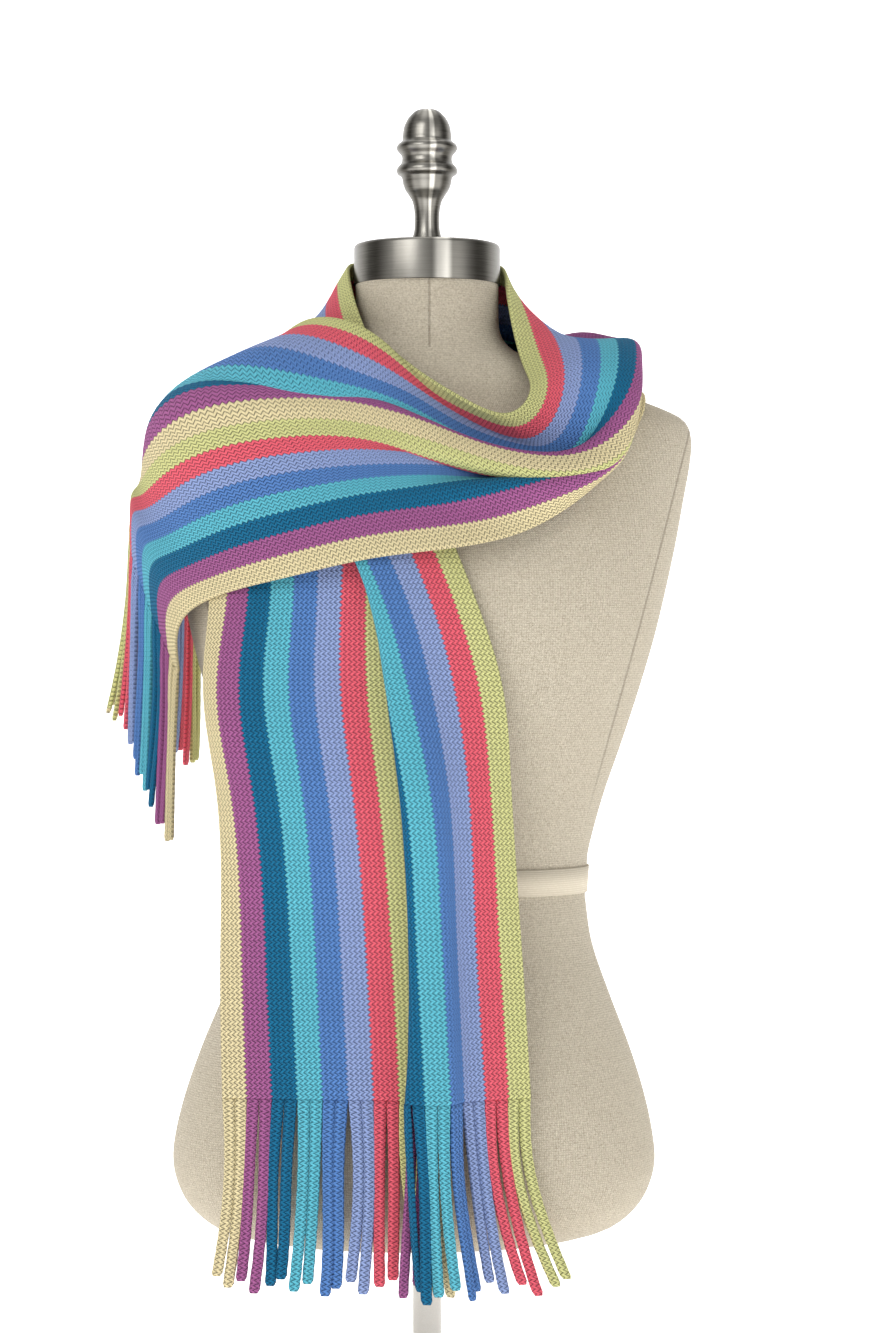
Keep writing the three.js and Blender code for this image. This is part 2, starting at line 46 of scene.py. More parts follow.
CAMERA_HEIGHT = 0.5605
HALF_VIEW = 0.5132  # metres of the form seen above the camera's height, and below it
sight = bpy.data.cameras.new("sight")
sight.sensor_fit = "VERTICAL"
sight.angle = 2 * math.atan(HALF_VIEW / CAMERA_DISTANCE)
camera = bpy.data.objects.new("camera", sight)
camera.location = (CAMERA_SIDE, -CAMERA_DISTANCE, CAMERA_HEIGHT)
camera.rotation_euler = (math.pi / 2, 0, 0)
bpy.context.collection.objects.link(camera)
bpy.context.scene.camera = camera


# Torso
# The form is a moulded shell covered in plain linen canvas. Its cover is sewn from panels, with a
# seam down the front of the neck and one inside each arm's edge, at the front and at the back.
class Wire:
    """An output of a material's node. Arithmetic on it adds Math nodes."""

    def __init__(self, paint, socket):
        self.paint = paint
        self.socket = socket

    def math(self, operation, *others):
        values = dict(enumerate((self, *others)))
        return self.paint.node("Math", {"operation": operation}, values)

    def flipped(self, operation, other):
        return self.paint.node("Math", {"operation": operation}, {0: other, 1: self})

    def __add__(self, other):
        return self.math("ADD", other)

    def __sub__(self, other):
        return self.math("SUBTRACT", other)

    def __mul__(self, other):
        return self.math("MULTIPLY", other)

    def __truediv__(self, other):
        return self.math("DIVIDE", other)

    def __pow__(self, other):
        return self.math("POWER", other)

    def __rsub__(self, other):
        return self.flipped("SUBTRACT", other)

    def __rtruediv__(self, other):
        return self.flipped("DIVIDE", other)

    __radd__ = __add__
    __rmul__ = __mul__

    def __abs__(self):
        return self.math("ABSOLUTE")

    def step(self, low, high):
        """0 below low, 1 above high and smooth between them."""
        settings = {"interpolation_type": "SMOOTHSTEP"}
        return self.paint.node("MapRange", settings, {0: self, 1: low, 2: high, 3: 0.0, 4: 1.0})

    def wave(self, period):
        """A smooth wave from 0 to 1 and back in each period."""
        return (self * (2 * math.pi / period)).math("COSINE") * -0.5 + 0.5


class Paint:
    """A material with one Principled shader."""

    def __init__(self, name, roughness, metallic=0.0):
        self.material = bpy.data.materials.new(name)
        self.material.use_nodes = True
        self.tree = self.material.node_tree
        self.shader = self.tree.nodes["Principled BSDF"]
        self.shader.inputs["Roughness"].default_value = roughness
        self.shader.inputs["Metallic"].default_value = metallic

    def node(self, kind, settings, sockets, output=0):
        made = self.tree.nodes.new("ShaderNode" + kind)
        for name, value in settings.items():
            setattr(made, name, value)
        for name, value in sockets.items():
            if isinstance(value, Wire):
                self.tree.links.new(value.socket, made.inputs[name])
            else:
                made.inputs[name].default_value = value
        return Wire(self, made.outputs[output])

    def place(self):
        """Object coordinates."""
        return self.node("TexCoord", {}, {}, "Object")

    def split(self, vector):
        """The three parts of a vector."""
        return [self.node("SeparateXYZ", {}, {0: vector}, k) for k in range(3)]

    def mix(self, share, low, high):
        return self.node("Mix", {"data_type": "RGBA"}, {0: share, 6: low, 7: high}, 2)

    def noise(self, spot, scale, detail=2.0):
        return self.node("TexNoise", {}, {"Vector": spot, "Scale": scale, "Detail": detail})

    def finish(self, color, height=None, depth=0.0, strength=1.0, roughness=None):
        feeds = {"Base Color": color, "Roughness": roughness}
        if height is not None:
            bump = {"Strength": strength, "Distance": depth, "Height": height}
            feeds["Normal"] = self.node("Bump", {}, bump)
        for name, value in feeds.items():
            if isinstance(value, Wire):
                self.tree.links.new(value.socket, self.shader.inputs[name])
            elif value is not None:
                self.shader.inputs[name].default_value = value
        return self.material


def tone(red, green, blue):
    """A linear colour from the eight-bit one."""
    shares = [value / 255 for value in (red, green, blue)]
    linear = [c / 12.92 if c < 0.04045 else ((c + 0.055) / 1.055) ** 2.4 for c in shares]
    return (*linear, 1.0)


def add_piece(name, mesh, material):
    """A smooth-shaded piece that rides on the part's only body."""
    piece = bpy.data.objects.new(name, mesh)
    bpy.context.collection.objects.link(piece)
    mesh.materials.append(material)
    for face in mesh.polygons:
        face.use_smooth = True
    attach(piece, "root")
    return piece


def to_mesh(bm, name):
    mesh = bpy.data.meshes.new(name)
    bm.normal_update()
    bm.to_mesh(mesh)
    bm.free()
    return mesh


# The form's outline in millimetres, from its underside to the top of its neck
FORM = np.array([
    # height, half width, front, back
    (122, 112, 78, 88),
    (127, 138, 92, 102),
    (134, 156, 102, 112),
    (148, 172, 111, 122),
    (164, 181, 116, 127),
    (182, 185, 119, 130),
    (204, 183, 120, 130),
    (234, 176, 118, 126),
    (270, 164, 112, 119),
    (310, 148, 104, 106),
    (349, 134, 95, 93),
    (385, 128, 91, 88),
    (388, 128.1, 91.1, 88),
    (408, 129.1, 92.1, 88),
    (420, 130, 93, 88),
    (460, 140, 101, 93),
    (503, 154, 113, 99),
    (545, 167, 124, 105),
    (585, 178, 131, 111),
    (626, 187, 130, 114),
    (657, 193, 121, 115),
    (688, 198, 108, 114),
    (716, 202.5, 95, 108),
    (735, 203.3, 86, 101),
    (749, 198, 79, 93),
    (757, 184, 74, 86),
    (768, 155, 70, 78),
    (780, 122, 67, 71),
    (792, 90, 63, 65),
    (803, 67, 58.5, 60),
    (815, 57, 55.5, 57),
    (835, 55, 55, 55),
    (853.7, 55, 55, 55),
])
FORM_POWER = 2.2  # 2 is an ellipse, and more is squarer
FORM_SIDES = 128
FORM_CUTS = 200
HIP_SHIFT = -10  # the hips stand this far to the left of the shoulders
HIP_LEVEL = 200
SHOULDER_LEVEL = 740


def follow(table, at):
    """Smooth curve through a table's rows at its first column."""
    at = np.asarray(at, float)
    last = len(table) - 1
    i = np.clip(np.searchsorted(table[:, 0], at, side="right") - 1, 0, last - 1)
    before, a, b, after = (table[np.clip(i + k, 0, last)] for k in (-1, 0, 1, 2))
    step = b[..., :1] - a[..., :1]
    t = np.clip((at[..., None] - a[..., :1]) / step, 0, 1)
    slope_in = (b - before) / (b - before)[..., :1] * step
    slope_out = (after - a) / (after - a)[..., :1] * step
    return a + (b - a) * t * t * (3 - 2 * t) + slope_in * t * (1 - t) ** 2 - slope_out * t * t * (1 - t)


def lean(z):
    """How far the form's middle stands to the right at a height."""
    return HIP_SHIFT * np.clip((SHOULDER_LEVEL - z) / (SHOULDER_LEVEL - HIP_LEVEL), 0, 1)


def form_point(z, turn, out):
    """A point of the form's skin, or of a layer that lies out from it."""
    _, half, front, back = follow(FORM, z)
    c, s = math.cos(turn), math.sin(turn)
    depth = front if s < 0 else back
    power = 2 / FORM_POWER
    return (
        (lean(z) + (half + out) * math.copysign(abs(c) ** power, c)) / 1000,
        (depth + out) * math.copysign(abs(s) ** power, s) / 1000,
        z / 1000,
    )


def upright_edges(bm):
    return [e for e in bm.edges if abs(e.verts[0].co.z - e.verts[1].co.z) > 1]


def round_form(name, low, high, out=0.0, cuts=0, capped=True):
    """A tube round the form between two heights."""
    bm = bmesh.new()
    bmesh.ops.create_cone(bm, cap_ends=capped, segments=FORM_SIDES, radius1=1, radius2=1, depth=2)
    if cuts:
        bmesh.ops.subdivide_edges(bm, edges=upright_edges(bm), cuts=cuts)
    for vert in bm.verts:
        z = low + (high - low) * (vert.co.z + 1) / 2
        vert.co = form_point(z, math.atan2(vert.co.y, vert.co.x), out)
    return to_mesh(bm, name)


def linen():
    thread = 0.0017  # metres from one thread to the next
    mean_radius = 0.13
    neck_line = 0.002
    arm_line, arm_level, arm_slope = 0.1617, 0.596, 0.27
    paint = Paint("linen", 0.92)
    spot = paint.place()
    x, y, z = paint.split(spot)
    around = paint.node("Math", {"operation": "ARCTAN2"}, {0: y, 1: x}) * mean_radius
    slub = paint.noise(spot, 260.0)
    warp = (around + slub * 0.0012).wave(thread)
    weft = (z + slub * 0.0014).wave(thread)
    weave = warp * weft
    speck = paint.noise(spot, 700.0, 3.0)
    soft = paint.noise(spot, 18.0, 3.0)
    grain = weave * 0.5 + (speck - 0.5) * 1.6 + 0.35
    cloth = paint.mix(grain, tone(158, 146, 126), tone(224, 215, 196))
    cloth = paint.mix(soft * 0.3, cloth, tone(186, 174, 152))
    front = y.step(0.0, -0.01)
    neck_seam = 1 - abs(x - neck_line).step(0.0004, 0.0012)
    neck_seam = neck_seam * z.step(0.8, 0.802) * front
    off_arm = abs(abs(x) + (arm_level - z) * arm_slope - arm_line)
    arm_seam = 1 - off_arm.step(0.0004, 0.0012)
    arm_seam = arm_seam * z.step(0.42, 0.52) * (1 - z.step(0.74, 0.76))
    seams = neck_seam.math("MAXIMUM", arm_seam)
    cloth = paint.mix(seams * 0.45, cloth, tone(110, 98, 82))
    return paint.finish(cloth, weave + speck - seams * 1.5, 0.0004, 0.8)


torso_mesh = round_form("torso_linen", FORM[0, 0], FORM[-1, 0], cuts=FORM_CUTS)
torso = add_piece("torso_linen", torso_mesh, linen())
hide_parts("form_torso")

# Waist tape
# A cotton tape that marks the waist, glued round the form.
TAPE_LOW = 388
TAPE_HIGH = 408
TAPE_OUT = 1.7
TAPE_WALL = 1.1
TAPE_RIB = 0.0016  # metres from one rib of its weave to the next
paint = Paint("cotton", 0.85)
spot = paint.place()
rib = paint.split(spot)[2].wave(TAPE_RIB) * paint.noise(spot, 500.0)
cotton = paint.finish(paint.mix(rib, tone(208, 196, 174), tone(232, 224, 206)), rib, 0.0003, 0.6)
tape_mesh = round_form("waist_band", TAPE_LOW, TAPE_HIGH, out=TAPE_OUT, capped=False)
tape = add_piece("waist_band", tape_mesh, cotton)
wall = tape.modifiers.new("wall", "SOLIDIFY")
wall.thickness = TAPE_WALL / 1000
wall.offset = -1
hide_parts("waist_tape")

# Neck cap and finial
# The cap is a spun steel cup and the finial a turned steel knob, both brushed and lacquered.
def turned(name, profile, sides=96):
    """A turned piece from rows of radius and height in millimetres."""
    bm = bmesh.new()
    spots = [bm.verts.new((r / 1000, 0, z / 1000)) for r, z in profile]
    edges = [bm.edges.new(pair) for pair in zip(spots, spots[1:])]
    bmesh.ops.spin(bm, geom=spots + edges, axis=(0, 0, 1), cent=(0, 0, 0),
                   angle=2 * math.pi, steps=sides, use_merge=True)
    bmesh.ops.remove_doubles(bm, verts=bm.verts, dist=1e-6)
    bmesh.ops.recalc_face_normals(bm, faces=bm.faces)
    return to_mesh(bm, name)


def rounded(profile, steps=4):
    """A smooth curve through the rows of a profile."""
    table = np.array([(i, r, z) for i, (r, z) in enumerate(profile)], float)
    path = follow(table, np.linspace(0, len(profile) - 1, (len(profile) - 1) * steps + 1))
    return [(max(r, 0), z) for _, r, z in path]


def steel():
    """Brushed steel, with upright streaks of painted highlight and painted shade fixed in its colour in
    place of reflections, over its brushed grain.
    """
    paint = Paint("steel", 0.3, 1.0)
    spot = paint.place()
    x, y, _ = paint.split(spot)
    grain = paint.node("Mapping", {}, {"Vector": spot, "Scale": (1.0, 1.0, 60.0)})
    streak = paint.noise(grain, 30.0, 4.0)
    fine = paint.noise(grain, 160.0, 2.0)
    side = x / ((x * x + y * y) ** 0.5 + 0.0001)
    # Painted reflections: a highlight streak right of the front, a softer painted highlight left of it,
    # and painted shade towards the sides.
    painted_highlight = 1 - abs(side - 0.21).step(0.05, 0.15)
    painted_soft_highlight = 1 - abs(side + 0.12).step(0.02, 0.25)
    rim = abs(side).step(0.5, 0.7) - abs(side).step(0.74, 0.95) * 0.6
    share = painted_highlight * 0.75 + painted_soft_highlight * 0.2 - rim * 0.2 + streak * 0.16 + 0.14
    color = paint.mix(share, tone(66, 63, 57), tone(236, 232, 222))
    return paint.finish(color, fine, 0.0001, 0.15, streak * 0.14 + 0.24)


steel_skin = steel()
CAP_RADIUS = 56.3
CAP_FOOT = 854
CAP_TOP = 885
CAP_RIM = [(0, 3), (0.4, 1.6), (1.4, 0.5), (3, 0)]  # how far in, and how far down
cap_profile = [(0, CAP_FOOT), (CAP_RADIUS, CAP_FOOT)]
cap_profile += [(CAP_RADIUS - inward, CAP_TOP - down) for inward, down in CAP_RIM]
cap_profile += [(0, CAP_TOP)]
cap = add_piece("cap_steel", turned("cap_steel", cap_profile, FORM_SIDES), steel_skin)
cap.data.set_sharp_from_angle(angle=math.radians(50))
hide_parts("neck_cap")
# The finial's radius and height, from its foot over two rings to its round top
KNOB = [
    (13, 885.3), (11.6, 890), (9.8, 897), (9.6, 909), (11.2, 918), (13.9, 923), (16.6, 927),
    (18.5, 932), (19.6, 937), (22.6, 939.5), (23.5, 942), (22.4, 945), (19.8, 948), (19.4, 953),
    (22.4, 957), (23.5, 959.6), (22.2, 962.4), (19.2, 965), (18.8, 969), (18.2, 973.6), (17, 978),
    (14.2, 983), (9.6, 987.6), (4.5, 989.6), (0, 990),
]
knob_profile = [(0, KNOB[0][1])] + rounded(KNOB)
knob = add_piece("finial_steel", turned("finial_steel", knob_profile), steel_skin)
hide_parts("finial")

# Stand
# A white powder-coated pole and a heavy round base, which the photo leaves out.
BASE_RADIUS = 130
BASE_HEIGHT = 12
POLE_RADIUS = 11
POLE_FOOT = 12.3
POLE_TOP = 121.7
paint = Paint("white", 0.45)
speck = paint.noise(paint.place(), 900.0)
white = paint.finish(paint.mix(speck, tone(222, 220, 214), tone(236, 234, 230)), speck, 0.0001, 0.3)
base_profile = [
    (0, 0), (BASE_RADIUS - 1, 0), (BASE_RADIUS, 1), (BASE_RADIUS, BASE_HEIGHT - 3.2),
    (BASE_RADIUS - 0.9, BASE_HEIGHT - 1.2), (BASE_RADIUS - 3, BASE_HEIGHT), (0, BASE_HEIGHT),
]
base = add_piece("base_white", turned("base_white", base_profile, FORM_SIDES), white)
base.data.set_sharp_from_angle(angle=math.radians(40))
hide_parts("stand_base")
pole_profile = [(0, POLE_FOOT), (POLE_RADIUS, POLE_FOOT), (POLE_RADIUS, POLE_TOP), (0, POLE_TOP)]
pole = add_piece("pole_white", turned("pole_white", pole_profile, 48), white)
pole.data.set_sharp_from_angle(angle=math.radians(40))
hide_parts("stand_pole")

# Scarf
# One length of rib knit in stripes that run along it. It hangs down the front, goes over the
# shoulder on the left of the picture and round the neck, crosses the chest and falls behind.
STRIPES = 16
WALL = 3.0
LENGTH = 1500.0
BEND = 0.6  # half of a bend's width, in stripes
SOFT = 2.0  # millimetres over which the press on the cloth sets in
LEAST = 2.2  # from the form to the middle of the cloth's wall
LINE_STEP = 10  # millimetres along the scarf from one line of the grid to the next
POSTS = 64  # steps of the grid across the scarf
SMOOTHINGS = 8
ACROSS_SMOOTHINGS = 3
# The form as the cloth feels it, which bridges the hollow between the neck and the shoulders
BRIDGE = np.array([
    *FORM[FORM[:, 0] < 740],
    (749, 200, 80, 94),
    (757, 189, 76, 88),
    (768, 164, 73, 81),
    (780, 135, 70, 75),
    (792, 108, 67, 70),
    (803, 88, 64, 66),
    (815, 74, 61, 62),
    (835, 61, 57, 57),
    (853.7, 56, 55, 55),
])
# Sections of the scarf from its front end. Each has its place along the scarf, the points where its
# lime and its cream edge lie, and the way out from the form. Then come its bends in stripes from
# the cream edge, the way in degrees that the cloth runs before the first bend and after each, its
# clearance over the form, and the most that it may stand off beyond that.
PLACES = [
    (0, (77, -118, 243), (-151, -118, 243), (0, -1, 0),
     (1.5, 8.6, 10.1, 11.2, 12, 13), (5, 2, 170, 0, 0, -80, -30), 4, 300),
    (106, (71, -120, 349), (-155, -108, 349), (0, -1, 0),
     (1.5, 9, 10.5, 11.5, 12.2, 13.1), (18, 3, 170, 0, 0, -90, -30), 4, 300),
    (218, (63, -124, 461), (-156, -104, 461), (0, -1, 0),
     (1.4, 9.1, 10.6, 11.5, 12.1, 13.1), (50, 8, 170, 0, 0, -62, -34), 4, 300),
    (302, (57, -130, 545), (-170, -100, 545), (0, -1, 0),
     (1.3, 9.2, 11, 11.7, 12.2, 13.2), (58, 8, 170, 0, 0, -38, -18), 4, 80),
    (376, (34, -138, 616), (-162, -97, 616), (-0.1, -1, 0),
     (1.5, 9, 11.3, 12, 12.5, 13.5), (36, 12, 168, -6, -6, -14, -18), 4, 22),
    (455, (4, -122, 690), (-163, -68, 690), (-0.2, -1, 0.2),
     (1.5, 8, 11.5, 12.3, 12.8, 14), (20, 12, 168, -8, -8, -12, -16), 4, 12),
    (529, (-22, -90, 752), (-152, -66, 740), (-0.3, -0.8, 0.6),
     (1.5, 6.8, 11.6, 12.4, 13, 14.5), (20, 12, 168, -8, -8, -12, -14), 4, 11),
    (601, (-42, -54, 808), (-136, 0, 786), (-0.5, -0.4, 0.8),
     (1.5, 5.8, 11.2, 12, 12.6, 14.2), (20, 10, 169, -4, -4, -6, -6), 6, 10),
    (669, (-60, -2, 868), (-108, 64, 764), (-0.8, 0, 0.7),
     (1.5, 5.8, 10.3, 11.3, 12, 14), (14, 2, 164, -4, -4, -8, -4), 4, 22),
    (704, (-58, 26, 874), (-78, 84, 752), (-0.7, 0.5, 0.5),
     (1.5, 6.1, 10.4, 11.4, 12, 14), (12, 4, 165, -4, -4, -10, -8), 4, 60),
    (741, (-38, 52, 876), (-43, 99, 742), (-0.5, 0.8, 0.4),
     (1.5, 6.3, 10.5, 11.4, 12, 14), (12, 6, 165, -4, -4, -10, -8), 4, 60),
    (781, (0, 64, 877), (-1, 104, 735), (0, 1, 0.35),
     (1.5, 6.3, 10.3, 11.3, 12, 14), (12, 4, 163, -8, -8, -14, -8), 4, 80),
    (821, (38, 52, 876), (42, 100, 737), (0.6, 0.6, 0.4),
     (1.5, 5.2, 8.2, 10.2, 12.6, 14.5), (10, 2, 160, 20, -50, -6, 4), 3.5, 100),
    (858, (58, 22, 874), (80, 89, 742), (0.96, -0.2, 0.1),
     (1.5, 3.6, 5.2, 8.8, 12, 14), (14, 10, 176, 32, -100, 8, 4), 3, 160),
    (916, (60, -26, 846), (130, 55, 754), (0.87, -0.29, 0.4),
     (1.6, 3.4, 5.6, 9, 11.5, 13.5), (24, 24, 194, 34, -88, 10, -11), 3, 200),
    (978, (70, -60, 786), (162, 0, 766), (0.4, -0.36, 0.82),
     (2, 4.5, 8.5, 10, 13, 14.5), (0, 0, 166, 62, -12, -42, -46), 3, 200),
    (1027, (81, -95, 768), (158, -52, 742), (0.6, -0.5, 0.65),
     (1.5, 4.6, 8.6, 9.6, 12.4, 15), (40, -8, 162, 70, -8, -34, -10), 3, 160),
    (1060, (64, -113, 742), (145, -76, 716), (0.5, -0.7, 0.4),
     (1.1, 4.3, 7.8, 9.6, 10.8, 12), (110, -55, 146, -8, -94, -94, 24), 4, 120),
    (1106, (25, -103, 761), (116, -102, 687), (0.25, -1, 0.2),
     (1.6, 4.7, 7.7, 9.4, 10.6, 11.8), (80, -70, 135, -10, -95, -95, 24), 4, 120),
    (1153, (-12, -82, 784), (78, -122, 660), (0.15, -1, 0.1),
     (2.4, 5, 7.4, 9.3, 10.5, 11.7), (40, -80, 118, -10, -98, -98, 20), 10, 120),
    (1208, (-46, -60, 813), (26, -136, 643), (-0.1, -1, 0.3),
     (2.8, 5.2, 7.2, 9.3, 10.4, 11.6), (24, -70, 88, 0, -98, -98, 14), 23, 120),
    (1273, (-97, -10, 812), (-38, -136, 636), (-0.4, -1, 0.3),
     (3, 5.4, 7, 9.3, 10.3, 11.3), (24, -34, 52, 12, -86, -86, 8), 23, 120),
    (1334, (-126, 54, 778), (-98, -126, 625), (-0.75, -0.7, 0.3),
     (3, 5.5, 7, 9.6, 10.6, 11.5), (36, 16, 34, 14, -66, -66, -32), 18, 40),
    (1396, (-136, 94, 732), (-155, -104, 613), (-0.95, -0.25, 0.3),
     (3, 5.5, 7.5, 9.8, 10.9, 12), (40, 26, 18, 4, -36, -36, -54), 16.5, 24),
    (1454, (-158, 138, 662), (-190, -68, 592), (-0.6, -0.14, 0.8),
     (3, 5.5, 7.5, 9.5, 10.8, 12), (50, 42, 20, -30, -46, -48, -46), 12, 40),
    (1500, (-194, 160, 612), (-188, -48, 556), (-0.48, -0.17, 0.86),
     (3, 6, 8.5, 10.5, 11.5, 12.5), (54, 44, 18, -38, -52, -50, -46), 9, 90),
]
SECTIONS = np.array([(u, *lime, *cream, *out, *bends, *turns, clear, press)
                     for u, lime, cream, out, bends, turns, clear, press in PLACES], float)


def form_share(p):
    """How far points lie from the form's middle, where 1 is its skin."""
    level = follow(BRIDGE, np.clip(p[:, 2], BRIDGE[0, 0], BRIDGE[-1, 0]))
    depth = np.where(p[:, 1] < 0, level[:, 2], level[:, 3])
    across = np.abs(p[:, 0] - lean(p[:, 2])) / level[:, 1]
    return (across ** FORM_POWER + (np.abs(p[:, 1]) / depth) ** FORM_POWER) ** (1 / FORM_POWER)


def form_gap(p):
    """Gap between points and the form, and the way out."""
    slope = np.stack([(form_share(p + d) - form_share(p - d)) / 2 for d in np.eye(3)], axis=1)
    steep = np.linalg.norm(slope, axis=1)
    return (form_share(p) - 1) / steep, slope / steep[:, None]


def settle(p, clear, press=None):
    """Moves points of the cloth clear of the form, and presses them towards it."""
    for turn in range(4):
        gap, out = form_gap(p)
        wanted = np.maximum(gap, clear)
        if turn == 0 and press:
            over = SOFT * np.log1p(np.exp((gap - clear) / SOFT))
            wanted = clear + press * (1 - np.exp(-over / press))
        p = p + out * (wanted - gap)[:, None]
    return p


def laid(u):
    """Points across the scarf at u along it as the table lays them, from the cream edge."""
    row = follow(SECTIONS, u)
    lime, cream, out = row[1:4], row[4:7], row[7:10]
    bends, turns, clear, press = row[10:16], row[16:23], row[23], row[24]
    chord = lime - cream
    span = np.linalg.norm(chord)
    along = chord / span
    out = out - out @ along * along
    out = out / np.linalg.norm(out)
    steps = 4 * POSTS
    middle = (np.arange(steps) + 0.5) / steps * STRIPES
    degrees = np.full(steps, turns[0])
    for bend, low, high in zip(bends, turns, turns[1:]):
        t = np.clip((middle - bend + BEND) / (2 * BEND), 0, 1)
        degrees = degrees + (high - low) * t * t * (3 - 2 * t)
    path = np.concatenate([[0], np.cumsum(np.exp(1j * np.radians(degrees)))])
    path = (path * span / path[-1])[::4]
    return settle(cream + path.real[:, None] * along + path.imag[:, None] * out, clear, press)


# The cloth on a grid, smoothed as knit smooths itself and then kept clear of the form
cloth = np.array([laid(u) for u in range(0, int(LENGTH) + 1, LINE_STEP)])
for turn in range(SMOOTHINGS):
    before = cloth.copy()
    inside = cloth[1:-1]
    inside += ((before[:-2] + before[2:]) / 2 - inside) * 0.5
    if turn < ACROSS_SMOOTHINGS:
        beside = (before[1:-1, :-2] + before[1:-1, 2:]) / 2
        inside[:, 1:-1] += (beside - inside[:, 1:-1]) * 0.3
cloth[0] = 2 * cloth[1] - cloth[2]
cloth[-1] = 2 * cloth[-2] - cloth[-3]
cloth = settle(cloth.reshape(-1, 3), LEAST).reshape(cloth.shape)


def spread_out(grid, places, at):
    """Rows of a grid that stands at some places, at other places between them."""
    table = np.column_stack([places, grid.reshape(len(places), -1)])
    return follow(table, at)[:, 1:].reshape(len(at), *grid.shape[1:])


def section(u, q):
    """Points of the cloth at places along it, and at q stripes from its cream edge."""
    rows = spread_out(cloth, np.arange(len(cloth)) * float(LINE_STEP), u)
    return spread_out(rows.swapaxes(0, 1), np.linspace(0, STRIPES, POSTS + 1), q).swapaxes(0, 1)


ROWS = 375
# The first columns inside each edge in stripes, and the share of the wall there, which rounds it
EDGE = np.array([0, 0.012, 0.035, 0.08])
EDGE_WALL = [0.15, 0.5, 0.8, 0.95]
INSIDE = 0.167
ACROSS = np.concatenate([EDGE, np.linspace(INSIDE, STRIPES - INSIDE, 95), STRIPES - EDGE[::-1]])
COLUMNS = len(ACROSS) - 1
surface = section(np.linspace(0, LENGTH, ROWS + 1), ACROSS) / 1000
bm = bmesh.new()
bmesh.ops.create_grid(bm, x_segments=COLUMNS, y_segments=ROWS, size=1)
knit_map = bm.loops.layers.uv.new("knit")
thick = bm.verts.layers.deform.new()
spots = {}
for vert in bm.verts:
    j = round((vert.co.x + 1) / 2 * COLUMNS)
    i = round((vert.co.y + 1) / 2 * ROWS)
    spots[vert] = (ACROSS[j] / STRIPES, i / ROWS)
    vert.co = surface[i, j]
    rim = min(j, COLUMNS - j)
    vert[thick][0] = EDGE_WALL[rim] if rim < len(EDGE_WALL) else 1.0
for face in bm.faces:
    for loop in face.loops:
        loop[knit_map].uv = spots[loop.vert]

STRIPE_TONES = {
    "cream": tone(236, 220, 172), "plum": tone(170, 94, 150), "teal": tone(0, 108, 150),
    "aqua": tone(96, 194, 214), "blue": tone(88, 136, 204), "periwinkle": tone(150, 170, 220),
    "coral": tone(244, 100, 118), "lime": tone(220, 220, 148),
}
ORDER = list(STRIPE_TONES) * 2


def knit(name, pitch, scallop):
    """Knit in columns of waved stitches, coloured by the stripe that the map's x falls in."""
    wales = 5  # columns of stitches in each stripe
    paint = Paint(name, 0.95)
    paint.shader.inputs["Sheen Weight"].default_value = 0.04
    paint.shader.inputs["Sheen Roughness"].default_value = 0.6
    paint.shader.inputs["Specular IOR Level"].default_value = 0.15
    x, y, _ = paint.split(paint.node("UVMap", {"uv_map": "knit"}, {}))
    spot = paint.place()
    fuzz = paint.noise(spot, 1100.0, 3.0)
    loose = paint.noise(spot, 90.0, 2.0)
    # Rows wave the columns from side to side, and the gap between two columns lies in shade
    row = y * LENGTH / pitch + (loose - 0.5) * 0.5
    phase = row.math("FRACT")
    sway = abs(phase - 0.5) * 4 - 1
    column = x * STRIPES * wales + sway * 0.4 + (fuzz - 0.5) * 0.25
    beside = column.math("FRACT") - 0.5
    groove = abs(beside) * 2
    gap = groove.step(0.6, 1.0)
    slant = 0.55 + phase.step(0.42, 0.58) * 0.45
    yarn = (row * 2 + beside * 0.9).wave(1.0)
    height = (1 - gap) * (yarn * 0.3 + 0.7) + fuzz * 0.25
    # Each stripe has one colour, with a scalloped edge where two stripes meet
    stripe = x + sway * (scallop / STRIPES)
    ramp = paint.node("ValToRGB", {}, {0: stripe})
    stops = ramp.socket.node.color_ramp
    stops.interpolation = "CONSTANT"
    for k, color in enumerate(ORDER):
        stop = stops.elements[k] if k < 2 else stops.elements.new(k / STRIPES)
        stop.position = k / STRIPES
        stop.color = STRIPE_TONES[color]
    # Painted shade darkens the stripe's colour in the gaps between columns and between the yarn's
    # loops, and a faint painted highlight lightens the middle of each column.
    deep = paint.node("Mix", {"data_type": "RGBA", "blend_type": "MULTIPLY"},
                      {0: 1.0, 6: ramp, 7: (0.2, 0.2, 0.26, 1.0)}, 2)
    painted_crown_highlight = paint.node("Mix", {"data_type": "RGBA", "blend_type": "SCREEN"},
                      {0: 1.0, 6: ramp, 7: (0.015, 0.015, 0.015, 1.0)}, 2)
    lit = paint.mix((1 - groove) * (fuzz + 0.5) * 0.8, ramp, painted_crown_highlight)
    color = paint.mix(gap * slant * 0.8 + (1 - yarn) * 0.1, lit, deep)
    return paint.finish(color, height, 0.0013, 1.0)


scarf = add_piece("scarf_knit", to_mesh(bm, "scarf_knit"), knit("knit", 3.9, 0.05))
scarf.vertex_groups.new(name="wall")
wall = scarf.modifiers.new("wall", "SOLIDIFY")
wall.thickness = WALL / 1000
wall.offset = 0
wall.vertex_group = "wall"
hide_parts("scarf_front_tail", "scarf_neck_wrap", "scarf_chest_band", "scarf_shoulder_end")

